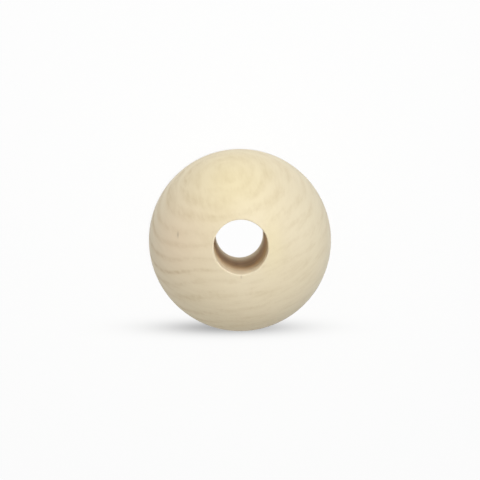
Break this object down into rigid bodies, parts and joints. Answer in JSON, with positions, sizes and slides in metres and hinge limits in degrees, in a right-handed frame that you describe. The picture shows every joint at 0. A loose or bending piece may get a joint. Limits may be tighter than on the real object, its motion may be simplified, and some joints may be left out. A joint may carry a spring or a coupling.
{
  "type": "wooden bead",
  "caption": "Round ball bead turned from pale wood, drilled right through for a cord, with softly rounded hole rims.",
  "frame": {"origin": "centre of the ball, halfway along the hole", "axes": "+Z runs along the hole and is up when the bead stands on the rim of its hole; the bead is the same all round Z"},
  "size_m": [0.035, 0.035, 0.0334],
  "materials": {
    "wood": "matte"
  },
  "bodies": {
    "root": {"bead": "wood"}
  },
  "joints": []
}
